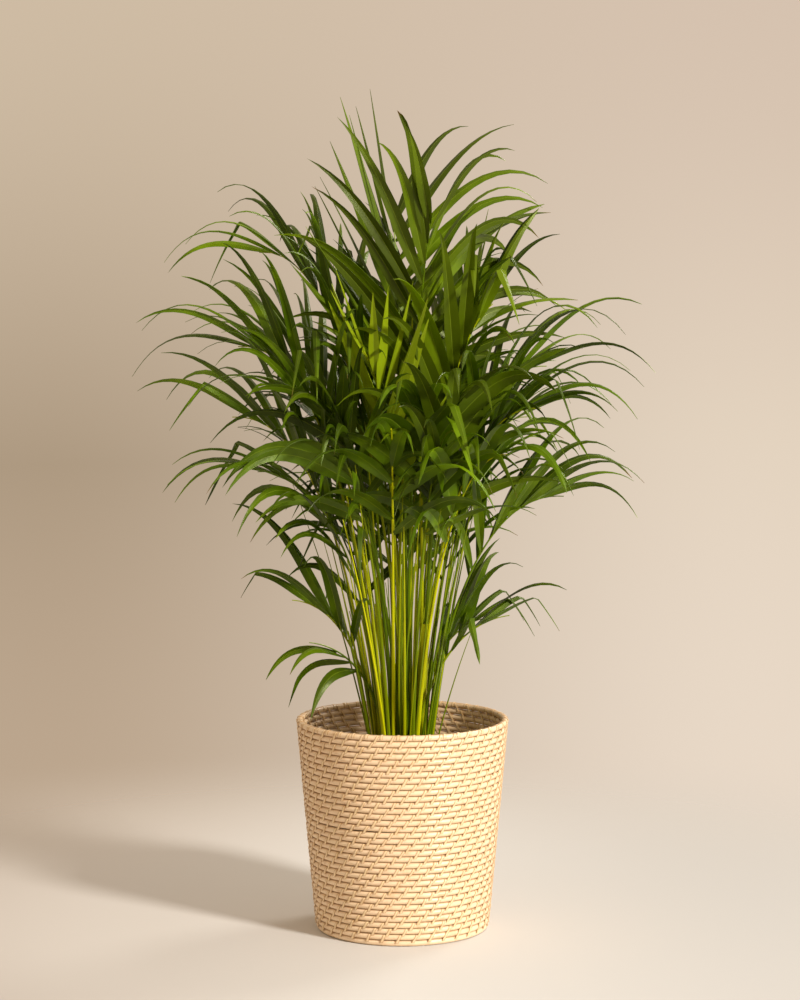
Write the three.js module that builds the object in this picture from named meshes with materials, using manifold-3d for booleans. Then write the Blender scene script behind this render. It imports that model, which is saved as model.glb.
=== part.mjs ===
// Areca palm: a clump of arching fronds on thin shoots, growing in a nursery pot that stands
// in a drip saucer inside a coiled rattan basket.
// Millimetres, +Z up. The origin is the centre of the basket's flat underside; -Y is the front.

import * as THREE from "three";
import { mergeVertices } from "three/addons/utils/BufferGeometryUtils.js";
import Module from "manifold-3d";

const wasm = await Module();
wasm.setup();

// ---------------------------------------------------------------- driving dimensions

// Basket: a cone of one rattan core, wound in level courses.
const BASKET_HEIGHT = 319;
const BASKET_TOP_RADIUS = 160;
const BASKET_FOOT_RADIUS = 131;
const BASKET_WALL = 9;
const BASKET_BASE_THICKNESS = 9;
const BASKET_FOOT_EASE = 1.5; // how much narrower the wall's foot is than the course above it
const BASKET_SIDES = 48;
const RIM_STEPS = 3;

// Drip saucer, on the basket's base.
const SAUCER_HEIGHT = 22;
const SAUCER_WALL = 2;
const SAUCER_CLEARANCE = 8;
const SAUCER_DRAFT = 3; // its foot is this much narrower than its rim

// Nursery pot, in the saucer.
const POT_RIM_DROP = 84; // from the basket's rim down to the pot's rim
const POT_RIM_CLEARANCE = 22; // from the basket's inner face to the pot's lip
const POT_FOOT_CLEARANCE = 8; // from the saucer's inner face to the pot's foot
const POT_WALL = 2;
const POT_LIP_WIDTH = 4;
const POT_LIP_HEIGHT = 11;
const POT_SIDES = 32;
const DRAIN_COUNT = 6;
const DRAIN_RADIUS = 6;
const DRAIN_SIDES = 10;
const DRAIN_INSET = 30; // from the pot's foot edge to a hole's centre

// Potting soil.
const SOIL_DROP = 19; // from the pot's rim down to the soil at the wall
const SOIL_CROWN = 7; // how much higher the soil stands in the middle
const SOIL_SHOULDER = { reach: 0.7, rise: 0.6 }; // where the heap rounds off, as shares
const SOCKET_DEPTH = 35; // how deep a shoot is set

// Shoots: bundles of leaf sheaths, set in a sunflower pattern.
const SHOOT_GAP = 2.2; // least free width between two shoots
const SHOOT_EDGE = 0.4; // shoot material outside its petioles' feet
const SHOOT_SWELL = 1.3; // a shoot's foot is this much wider than its top
const SHOOT_SIDES = 10;
const SHOOT_LEAN = 0.06; // outward slope of the outermost shoots

// Fronds: a petiole that runs on as the midrib, and its leaflets.
const PETIOLE_RADIUS = 3;
const PETIOLE_GAP = 0.9; // between the feet of two petioles on one shoot
const MIDRIB_TIP_RADIUS = 0.9;
const LEAFLET_PITCH = 28; // along the midrib
const LEAFLET_WIDTH = 24;
const LEAFLET_THICKNESS = 1;
const LEAFLET_NECK = 4; // width where a leaflet joins the midrib

// Free distance between pieces that stand on or in each other.
const FIT = 0.3;
// Free distance that growing leaflets keep from all that stands round them.
const LEAF_CLEARANCE = 0.25;

// A frond's middle line is drawn by two handles, placed at shares of its rise and of its way out.
// An upright frond goes straight to its tip, and one that reaches out this far first rises past it.
const LOW_HANDLE = { rise: 0.5, out: 0.12 };
const HIGH_HANDLE = { uprightRise: 0.72, reachingRise: 1.02, reach: 200, out: 0.42 };

// How a leaflet stands on its midrib, in degrees: its angle to the midrib at the blade's lowest and
// last pair, how far it is raised above the blade's plane, and how far its face is turned.
const SPLAY = { lowest: 52, last: 20 };
const LIFT = 24;
const TILT = 28;

// Leaflets are longest and broadest between the ends of the blade: the part of a half wave that
// their sizes follow, and the least share of length and of width.
const SWELL = { lowest: 0.22, last: 0.88 };
const LEAST_LENGTH = 0.5;
const LEAST_WIDTH = 0.6;

// Each shoot: its height above the soil and its three fronds, which are
// [azimuth, reach from the plant's axis, height above the soil, blade length, leaflet length, droop].
// Azimuth 0 is +X, 90 is +Y (the back); droop is the sag of a leaflet's tip as a share of its length.
const SHOOTS = [
  {
    height: 65,
    fronds: [
      [107, 55, 870, 330, 310, 0.12],
      [172, 215, 790, 310, 270, 0.45],
      [350, 135, 715, 290, 285, 0.3],
    ],
  },
  {
    height: 60,
    fronds: [
      [150, 150, 750, 270, 260, 0.5],
      [222, 175, 580, 240, 240, 0.5],
      [82, 120, 640, 280, 250, 0.5],
    ],
  },
  {
    height: 70,
    fronds: [
      [248, 150, 650, 230, 200, 0.02],
      [294, 110, 850, 310, 270, 0.45],
      [205, 215, 590, 240, 290, 0.5],
    ],
  },
  {
    height: 60,
    fronds: [
      [30, 170, 730, 270, 270, 0.5],
      [75, 60, 740, 280, 250, 0.4],
      [336, 220, 565, 230, 290, 0.5],
    ],
  },
  {
    height: 70,
    fronds: [
      [184, 243, 652, 258, 298, 0.45],
      [198, 145, 215, 90, 175, 1],
      [160, 220, 640, 240, 270, 0.5],
    ],
  },
  {
    height: 240,
    fronds: [
      [305, 175, 600, 240, 250, 0.4],
      [11, 220, 620, 240, 300, 0.5],
      [280, 150, 590, 240, 230, 0.45],
    ],
  },
  {
    height: 60,
    fronds: [
      [110, 150, 600, 270, 250, 0.5],
      [130, 215, 530, 260, 260, 0.55],
      [60, 200, 600, 270, 260, 0.5],
    ],
  },
  {
    height: 55,
    fronds: [
      [238, 220, 520, 200, 230, 0.5],
      [266, 230, 545, 230, 250, 0.5],
      [195, 220, 470, 200, 270, 0.5],
    ],
  },
  {
    height: 60,
    fronds: [
      [28, 215, 540, 230, 280, 0.5],
      [48, 220, 470, 240, 250, 0.55],
      [356, 240, 430, 200, 280, 0.6],
    ],
  },
  {
    height: 60,
    fronds: [
      [175, 255, 545, 240, 300, 0.45],
      [187, 165, 275, 120, 240, 0.6],
      [140, 190, 440, 230, 240, 0.55],
    ],
  },
  {
    height: 65,
    fronds: [
      [325, 185, 500, 190, 280, 0.75],
      [358, 160, 250, 120, 220, 0.55],
      [290, 215, 540, 210, 230, 0.5],
    ],
  },
  {
    height: 55,
    fronds: [
      [75, 230, 540, 260, 250, 0.55],
      [100, 240, 450, 250, 240, 0.55],
      [15, 125, 240, 100, 210, 0.45],
    ],
  },
];

const COLOURS = {
  rattan: { color: 0xe3bd86, roughness: 0.4 },
  saucer: { color: 0x3a3733, roughness: 0.5 },
  pot: { color: 0x2c2b29, roughness: 0.55 },
  soil: { color: 0x3b2a1d, roughness: 0.95 },
  sheath: { color: 0x8fa03a, roughness: 0.45 },
  leaf: { color: 0x49691a, roughness: 0.4 },
};

// ---------------------------------------------------------------- sizes that follow

// The basket's inner radius at a height.
function basketInside(z) {
  const outer = THREE.MathUtils.mapLinear(z, 0, BASKET_HEIGHT, BASKET_FOOT_RADIUS, BASKET_TOP_RADIUS);
  return outer - BASKET_WALL;
}

const SAUCER_FOOT_Z = BASKET_BASE_THICKNESS + FIT;
const SAUCER_RADIUS = basketInside(SAUCER_FOOT_Z) - SAUCER_CLEARANCE;

const POT_FOOT_Z = SAUCER_FOOT_Z + SAUCER_WALL + FIT;
const POT_RIM_Z = BASKET_HEIGHT - POT_RIM_DROP;
const POT_LIP_RADIUS = basketInside(POT_RIM_Z) - POT_RIM_CLEARANCE;
const POT_TOP_RADIUS = POT_LIP_RADIUS - POT_LIP_WIDTH;
const POT_FOOT_RADIUS = SAUCER_RADIUS - SAUCER_WALL - POT_FOOT_CLEARANCE;

const SOIL_FOOT_Z = POT_FOOT_Z + POT_WALL + FIT;
const SOIL_EDGE_Z = POT_RIM_Z - SOIL_DROP;
const SOIL_TOP_Z = SOIL_EDGE_Z + SOIL_CROWN;

// Three petioles stand on a shoot with a gap between each two, and the shoot is as wide as they need.
const PETIOLE_OFFSET = (2 * PETIOLE_RADIUS + PETIOLE_GAP) / Math.sqrt(3);
const SHOOT_RADIUS = PETIOLE_OFFSET + PETIOLE_RADIUS + SHOOT_EDGE;

// In a sunflower pattern the closest neighbours stand 1.55 times the pattern's scale apart.
const CLOSEST_PER_SCALE = 1.55;
const GOLDEN_ANGLE = Math.PI * (3 - Math.sqrt(5));
const PATTERN_SCALE = (2 * (SHOOT_RADIUS + SHOOT_SWELL) + SHOOT_GAP) / CLOSEST_PER_SCALE;

// The pot's outer radius at a height.
function potOutside(z) {
  return THREE.MathUtils.mapLinear(z, POT_FOOT_Z, POT_RIM_Z, POT_FOOT_RADIUS, POT_TOP_RADIUS);
}

// ---------------------------------------------------------------- small helpers

const UP = new THREE.Vector3(0, 0, 1);
const part = new THREE.Group();

function addMesh(name, geometry, finish) {
  const mesh = new THREE.Mesh(geometry, new THREE.MeshStandardMaterial({ ...finish, metalness: 0 }));
  mesh.name = name;
  part.add(mesh);
  return mesh;
}

// A solid of revolution about Z from [radius, z] points, listed so that its faces point out.
function turned(points, sides) {
  const profile = points.map(([radius, z]) => new THREE.Vector2(radius, z));
  return new THREE.LatheGeometry(profile, sides).rotateX(Math.PI / 2);
}

function toSolid(geometry) {
  const bare = geometry.clone();
  bare.deleteAttribute("normal");
  bare.deleteAttribute("uv");
  const merged = mergeVertices(bare, 1e-3);
  const vertProperties = new Float32Array(merged.attributes.position.array);
  const triVerts = new Uint32Array(merged.index.array);
  return new wasm.Manifold(new wasm.Mesh({ numProp: 3, vertProperties, triVerts }));
}

function toGeometry(solid) {
  const mesh = solid.getMesh();
  const geometry = new THREE.BufferGeometry();
  geometry.setAttribute("position", new THREE.BufferAttribute(mesh.vertProperties, 3));
  geometry.setIndex(new THREE.BufferAttribute(mesh.triVerts, 1));
  return geometry;
}

// An upright cylinder from z0 to z1, to cut with.
function upright(radius, z0, z1, x, y, sides) {
  return turned([[0, z0], [radius, z0], [radius, z1], [0, z1]], sides).translate(x, y, 0);
}

function cutAll(geometry, cutters) {
  return toGeometry(cutters.reduce((solid, cutter) => solid.subtract(toSolid(cutter)), toSolid(geometry)));
}

// ---------------------------------------------------------------- basket, saucer, pot, soil

function basketWall() {
  const roundness = BASKET_WALL / 2;
  const outer = (z) => basketInside(z) + BASKET_WALL;
  const middle = (z) => basketInside(z) + roundness;
  const points = [
    [basketInside(0), 0],
    [outer(0) - BASKET_FOOT_EASE, 0],
    [outer(roundness), roundness],
    [outer(BASKET_HEIGHT - roundness), BASKET_HEIGHT - roundness],
  ];
  for (let i = 1; i < RIM_STEPS; i++) {
    const angle = (i * Math.PI) / RIM_STEPS;
    const z = BASKET_HEIGHT - roundness + roundness * Math.sin(angle);
    points.push([middle(BASKET_HEIGHT) + roundness * Math.cos(angle), z]);
  }
  points.push([basketInside(BASKET_HEIGHT - roundness), BASKET_HEIGHT - roundness]);
  points.push([basketInside(0), 0]);
  return turned(points, BASKET_SIDES);
}

function basketBase() {
  const radius = basketInside(0) - FIT;
  return turned([[0, 0], [radius, 0], [radius, BASKET_BASE_THICKNESS], [0, BASKET_BASE_THICKNESS]], BASKET_SIDES);
}

function dripSaucer() {
  const foot = SAUCER_FOOT_Z;
  const top = foot + SAUCER_HEIGHT;
  return turned(
    [
      [0, foot],
      [SAUCER_RADIUS - SAUCER_DRAFT, foot],
      [SAUCER_RADIUS, top],
      [SAUCER_RADIUS - SAUCER_WALL, top],
      [SAUCER_RADIUS - SAUCER_WALL - SAUCER_DRAFT, foot + SAUCER_WALL],
      [0, foot + SAUCER_WALL],
    ],
    POT_SIDES,
  );
}

function nurseryPot() {
  const lipZ = POT_RIM_Z - POT_LIP_HEIGHT;
  const floorZ = POT_FOOT_Z + POT_WALL;
  const shell = turned(
    [
      [0, POT_FOOT_Z],
      [POT_FOOT_RADIUS, POT_FOOT_Z],
      [potOutside(lipZ), lipZ],
      [POT_LIP_RADIUS, lipZ],
      [POT_LIP_RADIUS, POT_RIM_Z],
      [potOutside(POT_RIM_Z) - POT_WALL, POT_RIM_Z],
      [potOutside(floorZ) - POT_WALL, floorZ],
      [0, floorZ],
    ],
    POT_SIDES,
  );
  const ringRadius = POT_FOOT_RADIUS - DRAIN_INSET;
  const drains = [];
  for (let i = 0; i < DRAIN_COUNT; i++) {
    const angle = (i * 2 * Math.PI) / DRAIN_COUNT;
    const x = ringRadius * Math.cos(angle);
    const y = ringRadius * Math.sin(angle);
    drains.push(upright(DRAIN_RADIUS, POT_FOOT_Z - POT_WALL, floorZ + POT_WALL, x, y, DRAIN_SIDES));
  }
  return cutAll(shell, drains);
}

function pottingSoil(shoots) {
  const inside = (z) => potOutside(z) - POT_WALL - FIT;
  const heap = turned(
    [
      [0, SOIL_FOOT_Z],
      [inside(SOIL_FOOT_Z), SOIL_FOOT_Z],
      [inside(SOIL_EDGE_Z), SOIL_EDGE_Z],
      [inside(SOIL_EDGE_Z) * SOIL_SHOULDER.reach, SOIL_EDGE_Z + SOIL_CROWN * SOIL_SHOULDER.rise],
      [0, SOIL_TOP_Z],
    ],
    POT_SIDES,
  );
  const footZ = SOIL_EDGE_Z - SOCKET_DEPTH;
  const above = SOIL_TOP_Z + SOIL_CROWN;
  const socketRadius = SHOOT_RADIUS + SHOOT_SWELL + FIT;
  const sockets = shoots.map(({ x, y }) => upright(socketRadius, footZ, above, x, y, SHOOT_SIDES));
  return cutAll(heap, sockets);
}

// ---------------------------------------------------------------- shoots

// The shoots' places, and how much each leans away from the plant's axis.
function placeShoots() {
  return SHOOTS.map(({ height, fronds }, i) => {
    const radius = PATTERN_SCALE * Math.sqrt(i + 0.5);
    const x = radius * Math.cos(i * GOLDEN_ANGLE);
    const y = radius * Math.sin(i * GOLDEN_ANGLE);
    const outward = (SHOOT_LEAN * radius) / (PATTERN_SCALE * Math.sqrt(SHOOTS.length));
    const slope = new THREE.Vector2(x, y).setLength(outward);
    const topZ = SOIL_TOP_Z + height;
    const top = new THREE.Vector3(x + slope.x * height, y + slope.y * height, topZ);
    return { x, y, slope, top, fronds };
  });
}

// A shoot stands straight up in the soil and leans outwards above it, with level ends.
function shootGeometry({ x, y, slope, top }) {
  const footZ = SOIL_EDGE_Z - SOCKET_DEPTH + FIT;
  const wide = SHOOT_RADIUS + SHOOT_SWELL;
  const bendZ = SOIL_TOP_Z;
  const waistZ = THREE.MathUtils.lerp(bendZ, top.z, 0.5);
  const profile = [[0, footZ], [wide, footZ], [wide, bendZ], [SHOOT_RADIUS + SHOOT_SWELL / 3, waistZ]];
  const geometry = turned([...profile, [SHOOT_RADIUS, top.z], [0, top.z]], SHOOT_SIDES);
  const position = geometry.attributes.position;
  for (let i = 0; i < position.count; i++) {
    const above = Math.max(0, position.getZ(i) - bendZ);
    position.setX(i, position.getX(i) + x + slope.x * above);
    position.setY(i, position.getY(i) + y + slope.y * above);
  }
  return geometry;
}

// ---------------------------------------------------------------- room round growing leaves

// Triangles already in place, kept by the cells of a coarse grid that they touch.
const CELL = 50;
const cells = new Map();

function cellKeys(box, visit) {
  const low = box.min.clone().divideScalar(CELL).floor();
  const high = box.max.clone().divideScalar(CELL).floor();
  for (let i = low.x; i <= high.x; i++) {
    for (let j = low.y; j <= high.y; j++) {
      for (let k = low.z; k <= high.z; k++) visit(`${i},${j},${k}`);
    }
  }
}

// An owner's triangles block everyone but the owner.
function fill(triangles, owner = null) {
  for (const triangle of triangles) {
    const box = new THREE.Box3().setFromPoints([triangle.a, triangle.b, triangle.c]);
    const entry = { triangle, box, owner };
    cellKeys(box, (key) => {
      if (!cells.has(key)) cells.set(key, []);
      cells.get(key).push(entry);
    });
  }
}

function trianglesOf(geometry) {
  const position = geometry.attributes.position;
  const index = geometry.index;
  const corner = (i) => new THREE.Vector3().fromBufferAttribute(position, index.getX(i));
  const triangles = [];
  for (let i = 0; i < index.count; i += 3) {
    triangles.push(new THREE.Triangle(corner(i), corner(i + 1), corner(i + 2)));
  }
  return triangles;
}

// Whether an edge of one triangle passes through the other.
const ray = new THREE.Ray();
const hit = new THREE.Vector3();
function edgeCrosses(start, end, triangle) {
  ray.origin.copy(start);
  ray.direction.subVectors(end, start);
  const length = ray.direction.length();
  ray.direction.divideScalar(length);
  const found = ray.intersectTriangle(triangle.a, triangle.b, triangle.c, false, hit);
  return found !== null && hit.distanceTo(start) <= length;
}

function cross(one, other) {
  return (
    edgeCrosses(one.a, one.b, other) ||
    edgeCrosses(one.b, one.c, other) ||
    edgeCrosses(one.c, one.a, other) ||
    edgeCrosses(other.a, other.b, one) ||
    edgeCrosses(other.b, other.c, one) ||
    edgeCrosses(other.c, other.a, one)
  );
}

function isFree(triangles, grower) {
  for (const triangle of triangles) {
    const box = new THREE.Box3().setFromPoints([triangle.a, triangle.b, triangle.c]);
    const meets = ({ owner, box: other, triangle: placed }) =>
      (owner === null || owner !== grower) && other.intersectsBox(box) && cross(triangle, placed);
    let blocked = false;
    cellKeys(box, (key) => {
      blocked = blocked || (cells.get(key) || []).some(meets);
    });
    if (blocked) return false;
  }
  return true;
}

// The two triangles of each face between two loops of points.
function between(from, to, visit) {
  for (let i = 0; i < from.length; i++) {
    const next = (i + 1) % from.length;
    visit(from[i], from[next], to[next]);
    visit(from[i], to[next], to[i]);
  }
}

function fan(loop, tip, visit) {
  for (let i = 0; i < loop.length; i++) visit(loop[i], loop[(i + 1) % loop.length], tip);
}

// ---------------------------------------------------------------- fronds

const FOOT_TURNS = [0, 120, -120];
const PETIOLE_STEPS = 5;

// The middle line of a frond: up from its shoot, then arching out to its tip.
function frondPath(foot, azimuth, reach, tipZ) {
  const tip = new THREE.Vector3(reach * Math.cos(azimuth), reach * Math.sin(azimuth), tipZ);
  const rise = new THREE.Vector3(0, 0, tipZ - foot.z);
  const out = new THREE.Vector3(tip.x - foot.x, tip.y - foot.y, 0);
  const { uprightRise, reachingRise } = HIGH_HANDLE;
  const crown = THREE.MathUtils.lerp(uprightRise, reachingRise, Math.min(1, reach / HIGH_HANDLE.reach));
  const first = foot.clone().addScaledVector(rise, LOW_HANDLE.rise).addScaledVector(out, LOW_HANDLE.out);
  const second = foot.clone().addScaledVector(rise, crown).addScaledVector(out, HIGH_HANDLE.out);
  return new THREE.CubicBezierCurve3(foot, first, second, tip);
}

// The three corners of the midrib's section: keel, left edge, right edge.
function sectionAt(path, share, radius, level) {
  const centre = path.getPointAt(share);
  const along = level ? UP.clone() : path.getTangentAt(share);
  const out = path.getPointAt(1).sub(path.getPointAt(0)).setZ(0).normalize();
  const side = new THREE.Vector3(-out.y, out.x, 0);
  const over = new THREE.Vector3().crossVectors(along, side).normalize();
  const corner = (s, o) => centre.clone().addScaledVector(side, s * radius).addScaledVector(over, o * radius);
  const half = Math.sqrt(3) / 2;
  return { centre, along, side, over, loop: [corner(0, -1), corner(half, 0.5), corner(-half, 0.5)] };
}

// The sections of a frond: evenly up the petiole, then a pair for each pair of leaflets.
function frondSections(path, bladeLength, clearance) {
  const length = path.getLength();
  const bladeStart = 1 - bladeLength / length;
  const radiusAt = (share) => THREE.MathUtils.lerp(PETIOLE_RADIUS, MIDRIB_TIP_RADIUS, share) + clearance;
  const sections = [];
  for (let i = 0; i < PETIOLE_STEPS; i++) {
    const share = (bladeStart * i) / PETIOLE_STEPS;
    sections.push(sectionAt(path, share, radiusAt(share), i === 0));
  }
  const pairs = Math.floor(bladeLength / LEAFLET_PITCH);
  const joints = [];
  for (let i = 0; i < pairs; i++) {
    const near = bladeStart + (i * LEAFLET_PITCH) / length;
    const far = near + LEAFLET_NECK / length;
    joints.push({ index: sections.length, share: i / (pairs - 1) });
    sections.push(sectionAt(path, near, radiusAt(near), false), sectionAt(path, far, radiusAt(far), false));
  }
  return { sections, joints, tip: path.getPointAt(1) };
}

function frondStem(frond) {
  const triangles = [];
  const keep = (a, b, c) => triangles.push(new THREE.Triangle(a, b, c));
  const { sections, tip } = frond;
  for (let i = 1; i < sections.length; i++) between(sections[i - 1].loop, sections[i].loop, keep);
  fan(sections[sections.length - 1].loop, tip, keep);
  return triangles;
}

// A frond turns a little about the plant until its stem has room.
const STEM_TURNS = [0, 3, -3, 6, -6, 9, -9, 12, -12, 16, -16, 20, -20];

function growStem(foot, [azimuth, reach, height, bladeLength]) {
  const tipZ = SOIL_TOP_Z + height;
  for (const turn of STEM_TURNS) {
    const path = frondPath(foot, THREE.MathUtils.degToRad(azimuth + turn), reach, tipZ);
    const room = frondStem(frondSections(path, bladeLength, LEAF_CLEARANCE));
    if (isFree(room) || turn === STEM_TURNS.at(-1)) {
      fill(room);
      return path;
    }
  }
}

// Other fronds' leaflets leave this much more room round a midrib, where its own leaflets join it.
const OFF_MIDRIB = 4.5;

function keepJointsFree(path, bladeLength, frond) {
  fill(frondStem(frondSections(path, bladeLength, 2 * OFF_MIDRIB)), frond);
}

// A leaflet: a flat blade from its neck on the midrib, widest part-way, sagging to its tip.
const WIDEST = 0.4;

function leafletShape(neck, section, side, aim, thickness) {
  const { splay, lift, length, droop, width, tilt } = aim;
  const root = neck.reduce((sum, point) => sum.add(point), new THREE.Vector3()).divideScalar(neck.length);
  const sideways = section.side.clone().multiplyScalar(side * Math.cos(lift));
  sideways.addScaledVector(section.over, Math.sin(lift));
  const start = section.along.clone().multiplyScalar(Math.cos(splay)).addScaledVector(sideways, Math.sin(splay));
  const pointAt = (s) =>
    root.clone().addScaledVector(start, length * s).addScaledVector(UP, -droop * length * s * s);
  const heading = start.clone().addScaledVector(UP, -2 * droop * WIDEST).normalize();
  const across = section.along.clone().addScaledVector(heading, -section.along.dot(heading)).normalize();
  across.applyAxisAngle(heading, side * tilt);
  const normal = new THREE.Vector3().crossVectors(across, heading);
  const middle = pointAt(WIDEST);
  const corner = (w, n) =>
    middle.clone().addScaledVector(across, (w * width) / 2).addScaledVector(normal, (n * thickness) / 2);
  return { ring: [corner(-1, -1), corner(-1, 1), corner(1, 1), corner(1, -1)], tip: pointAt(1) };
}

// The space that a leaflet takes, from a little way off its own midrib.
function leafletRoom(neck, shape) {
  const share = Math.min(0.9, OFF_MIDRIB / neck[0].distanceTo(shape.ring[0]));
  const start = neck.map((point, i) => point.clone().lerp(shape.ring[i], share));
  const triangles = [];
  const keep = (a, b, c) => triangles.push(new THREE.Triangle(a, b, c));
  between(start, shape.ring, keep);
  fan(shape.ring, shape.tip, keep);
  return triangles;
}

// A leaflet turns, lifts or sags, and last of all grows shorter, until it has room.
const LENGTH_TRIES = [1, 0.88, 0.75, 0.6, 0.45, 0.3, 0.18, 0.1];
const LIFT_TRIES = [0, 9, -9, 18, -18, 28, -28, 40, -40, 55, -55];
const SPLAY_TRIES = [0, 6, -6, 12, -12, 18, -18, 28, -28];

function growLeaflet(neck, section, side, wish, frond) {
  let shape;
  for (const shorter of LENGTH_TRIES) {
    for (const lift of LIFT_TRIES) {
      for (const splay of SPLAY_TRIES) {
        const aim = {
          ...wish,
          length: wish.length * shorter,
          width: wish.width * Math.sqrt(shorter),
          lift: wish.lift + THREE.MathUtils.degToRad(lift),
          splay: wish.splay + THREE.MathUtils.degToRad(splay),
        };
        const room = leafletShape(neck, section, side, aim, LEAFLET_THICKNESS + 2 * LEAF_CLEARANCE);
        const triangles = leafletRoom(neck, room);
        shape = leafletShape(neck, section, side, aim, LEAFLET_THICKNESS);
        if (isFree(triangles, frond)) {
          fill(triangles);
          return shape;
        }
      }
    }
  }
  return shape;
}

// How a pair of leaflets stands at its share of the blade, 0 at the lowest pair and 1 at the last.
function leafletWish(share, leafletLength, droop) {
  const swell = Math.sin(Math.PI * THREE.MathUtils.lerp(SWELL.lowest, SWELL.last, share));
  return {
    splay: THREE.MathUtils.degToRad(THREE.MathUtils.lerp(SPLAY.lowest, SPLAY.last, share)),
    lift: THREE.MathUtils.degToRad(LIFT),
    tilt: THREE.MathUtils.degToRad(TILT),
    length: leafletLength * THREE.MathUtils.lerp(LEAST_LENGTH, 1, swell),
    width: LEAFLET_WIDTH * THREE.MathUtils.lerp(LEAST_WIDTH, 1, swell),
    droop,
  };
}

function frondGeometry(path, [, , , bladeLength, leafletLength, droop], frond) {
  const { sections, joints, tip } = frondSections(path, bladeLength, 0);
  const points = [];
  const index = [];
  const place = (point) => points.push(point) - 1;
  const face = (a, b, c) => index.push(a, b, c);

  const loops = sections.map(({ loop }) => loop.map(place));
  const jointAt = new Map(joints.map((joint) => [joint.index, joint]));
  face(loops[0][2], loops[0][1], loops[0][0]);
  for (let i = 1; i < loops.length; i++) {
    const joint = jointAt.get(i - 1);
    const [keel, left, right] = loops[i - 1];
    const [keelFar, leftFar, rightFar] = loops[i];
    if (!joint) {
      between(loops[i - 1], loops[i], face);
      continue;
    }
    face(left, right, rightFar);
    face(left, rightFar, leftFar);
    const wish = leafletWish(joint.share, leafletLength, droop);
    const necks = [
      { side: 1, neck: [keel, left, leftFar, keelFar] },
      { side: -1, neck: [right, keel, keelFar, rightFar] },
    ];
    for (const { side, neck } of necks) {
      const shape = growLeaflet(neck.map((n) => points[n]), sections[i - 1], side, wish, frond);
      const ring = shape.ring.map(place);
      between(neck, ring, face);
      fan(ring, place(shape.tip), face);
    }
  }
  fan(loops[loops.length - 1], place(tip), face);

  const geometry = new THREE.BufferGeometry().setFromPoints(points);
  return geometry.setIndex(index);
}

// ---------------------------------------------------------------- the part

const shoots = placeShoots();

addMesh("basket_wall", basketWall(), COLOURS.rattan);
addMesh("basket_base", basketBase(), COLOURS.rattan);
addMesh("drip_saucer", dripSaucer(), COLOURS.saucer);
addMesh("nursery_pot", nurseryPot(), COLOURS.pot);
addMesh("potting_soil", pottingSoil(shoots), COLOURS.soil);

const number = (n) => String(n).padStart(2, "0");
fill(trianglesOf(basketWall()));
shoots.forEach((shoot, i) => {
  const geometry = shootGeometry(shoot);
  fill(trianglesOf(geometry));
  addMesh("shoot_" + number(i + 1), geometry, COLOURS.sheath);
});

// All the stems stand before the first leaflet grows, so leaflets make way for stems.
const stems = shoots.flatMap(({ top, fronds }) =>
  fronds.map((wish, i) => {
    const direction = THREE.MathUtils.degToRad(fronds[0][0] + FOOT_TURNS[i]);
    const foot = top.clone();
    foot.x += PETIOLE_OFFSET * Math.cos(direction);
    foot.y += PETIOLE_OFFSET * Math.sin(direction);
    foot.z += FIT;
    return { wish, path: growStem(foot, wish) };
  }),
);
stems.forEach(({ wish, path }, i) => keepJointsFree(path, wish[3], i));
stems.forEach(({ wish, path }, i) => {
  addMesh("frond_" + number(i + 1), frondGeometry(path, wish, i), COLOURS.leaf);
});

export default part;
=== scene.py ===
import math
import random

import bpy
import numpy as np
from mathutils import Matrix, Vector


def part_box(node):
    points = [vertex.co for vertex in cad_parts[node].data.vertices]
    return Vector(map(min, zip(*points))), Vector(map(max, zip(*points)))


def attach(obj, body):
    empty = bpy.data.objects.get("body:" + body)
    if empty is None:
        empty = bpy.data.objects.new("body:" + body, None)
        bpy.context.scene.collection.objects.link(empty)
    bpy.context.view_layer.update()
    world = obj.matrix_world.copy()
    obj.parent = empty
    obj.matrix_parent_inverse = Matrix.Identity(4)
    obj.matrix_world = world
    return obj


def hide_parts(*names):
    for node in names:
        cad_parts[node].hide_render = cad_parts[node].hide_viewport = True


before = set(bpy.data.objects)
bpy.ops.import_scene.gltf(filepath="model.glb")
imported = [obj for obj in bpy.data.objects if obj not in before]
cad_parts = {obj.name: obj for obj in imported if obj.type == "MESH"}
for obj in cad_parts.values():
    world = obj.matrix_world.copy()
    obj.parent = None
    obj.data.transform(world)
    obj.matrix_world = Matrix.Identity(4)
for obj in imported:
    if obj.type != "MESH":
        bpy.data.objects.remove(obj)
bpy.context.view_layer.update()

# A potted areca palm in a coiled rattan basket. Metres, +Z up, -Y is the front.

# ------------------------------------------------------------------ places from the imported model

_, wall_high = (Vector(corner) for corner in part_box("basket_wall"))
_, base_high = (Vector(corner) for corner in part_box("basket_base"))
saucer_low, saucer_high = (Vector(corner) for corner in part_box("drip_saucer"))
pot_low, pot_high = (Vector(corner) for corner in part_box("nursery_pot"))
_, soil_high = (Vector(corner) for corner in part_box("potting_soil"))

BASKET_HEIGHT = wall_high.z
COURSES = 35
PITCH = BASKET_HEIGHT / COURSES
TOP_RADIUS = wall_high.x
WALL_THICKNESS = 0.0093
FOOT_RADIUS = base_high.x + WALL_THICKNESS
SOIL_TOP = soil_high.z

# ------------------------------------------------------------------ sizes of the plant

PETIOLE_RADIUS = 0.003
PETIOLE_GAP = 0.0009
MIDRIB_TIP_RADIUS = 0.0008
SHOOT_EDGE = 0.0004
SHOOT_SWELL = 0.0013
SHOOT_GAP = 0.0022
SHOOT_LEAN = 0.06
FIT = 0.0003
LEAFLET_WIDTH = 0.0180
LEAFLET_THICKNESS = 0.0005
LEAFLET_PITCH = 0.031
MOST_SPLAY, LEAST_SPLAY = 50, 17  # degrees between a leaflet and the midrib, at the foot and the tip

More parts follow.
